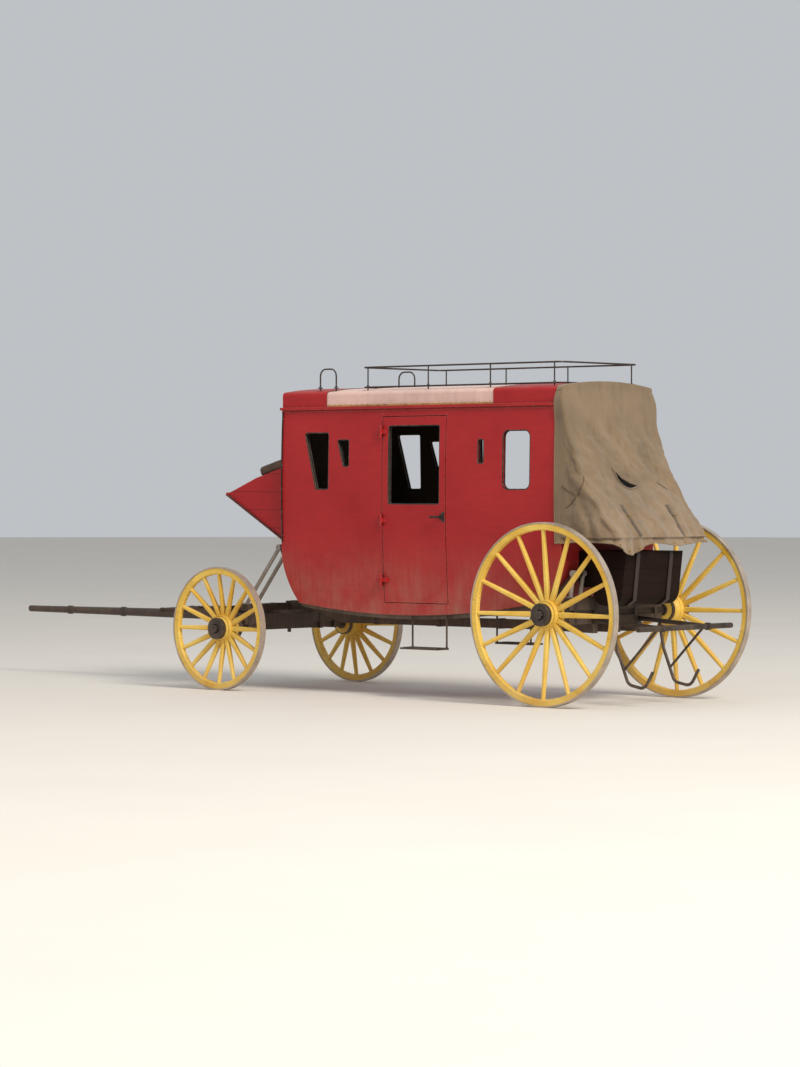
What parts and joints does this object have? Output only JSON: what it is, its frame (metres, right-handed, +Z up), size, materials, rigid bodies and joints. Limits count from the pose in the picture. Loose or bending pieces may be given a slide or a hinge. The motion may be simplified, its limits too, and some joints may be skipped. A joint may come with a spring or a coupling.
{
  "type": "stagecoach",
  "caption": "Horse-drawn stagecoach with a closed red cabin on leather braces, dished spoked wheels, turning front gear, opening doors and a covered rear boot.",
  "frame": {"origin": "on the ground under the middle of the whole length, on the centre plane", "axes": "+X forward along the pole, +Y to the left, +Z up"},
  "size_m": [7.5999, 1.876, 2.723],
  "materials": {
    "red_paint": "faded, dusty paint on wooden panels",
    "yellow_paint": "yellow paint on wooden wheels",
    "tyre_iron": "iron tyre worn bright by the road, dusty",
    "dark_iron": "blacked forged iron",
    "boot_canvas": "tan canvas, weathered",
    "roof_canvas": "pale painted canvas",
    "cushion_leather": "dark buttoned leather",
    "brace_leather": "oiled layered leather",
    "boot_wood": "dark stained boards",
    "inner_wood": "worn boards",
    "gear_wood": "dark dusty paint on running gear"
  },
  "bodies": {
    "coach": {"bench_cushions": "cushion_leather", "benches": "inner_wood", "body_floor": "red_paint", "boot_cover": "boot_canvas", "door_steps": "dark_iron", "driver_box": "red_paint", "driver_cushion": "cushion_leather", "end_walls": "red_paint", "hinge_knuckles": "dark_iron", "perch": "gear_wood", "quarter_front_left": "red_paint", "quarter_front_right": "red_paint", "quarter_rear_left": "red_paint", "quarter_rear_right": "red_paint", "rear_axle": "dark_iron", "rear_bed": "gear_wood", "rear_boot": "boot_wood", "rear_bumper": "dark_iron", "roof_canvas": "roof_canvas", "roof_ends": "red_paint", "roof_frame": "red_paint", "roof_rails": "dark_iron", "standards": "dark_iron", "thoroughbraces": "brace_leather", "top_bolster": "gear_wood", "turning_irons": "dark_iron"},
    "front_gear": {"front_axle": "dark_iron", "front_bed": "gear_wood", "lower_ring": "dark_iron", "hounds": "gear_wood", "pole": "gear_wood", "evener": "gear_wood", "singletrees": "gear_wood"},
    "door_left": {"door_left": "red_paint", "door_irons_left": "dark_iron"},
    "wheel_front_left": {"wheel_front_left": "yellow_paint", "tyre_front_left": "tyre_iron", "hub_bands_front_left": "dark_iron"},
    "wheel_rear_left": {"wheel_rear_left": "yellow_paint", "tyre_rear_left": "tyre_iron", "hub_bands_rear_left": "dark_iron"},
    "door_right": {"door_right": "red_paint", "door_irons_right": "dark_iron"},
    "wheel_front_right": {"wheel_front_right": "yellow_paint", "tyre_front_right": "tyre_iron", "hub_bands_front_right": "dark_iron"},
    "wheel_rear_right": {"wheel_rear_right": "yellow_paint", "tyre_rear_right": "tyre_iron", "hub_bands_rear_right": "dark_iron"}
  },
  "joints": [
    {"name": "steering", "type": "hinge", "parent": "coach", "child": "front_gear", "pos_m": [0.5, 0, 0.652], "axis": [0, 0, 1], "range_deg": [-20, 20]},
    {"name": "spin_front_left", "type": "hinge", "parent": "front_gear", "child": "wheel_front_left", "pos_m": [0.5, 0.87, 0.523], "axis": [0, 1, 0], "continuous": true},
    {"name": "spin_rear_left", "type": "hinge", "parent": "coach", "child": "wheel_rear_left", "pos_m": [-3.04, 0.87, 0.725], "axis": [0, 1, 0], "continuous": true},
    {"name": "spin_front_right", "type": "hinge", "parent": "front_gear", "child": "wheel_front_right", "pos_m": [0.5, -0.87, 0.523], "axis": [0, 1, 0], "continuous": true},
    {"name": "spin_rear_right", "type": "hinge", "parent": "coach", "child": "wheel_rear_right", "pos_m": [-3.04, -0.87, 0.725], "axis": [0, 1, 0], "continuous": true},
    {"name": "swing_door_left", "type": "hinge", "parent": "coach", "child": "door_left", "pos_m": [-1.117, 0.621, 1.5], "axis": [0, 0, -1], "range_deg": [0, 100]},
    {"name": "swing_door_right", "type": "hinge", "parent": "coach", "child": "door_right", "pos_m": [-1.117, -0.621, 1.5], "axis": [0, 0, 1], "range_deg": [0, 100]}
  ]
}
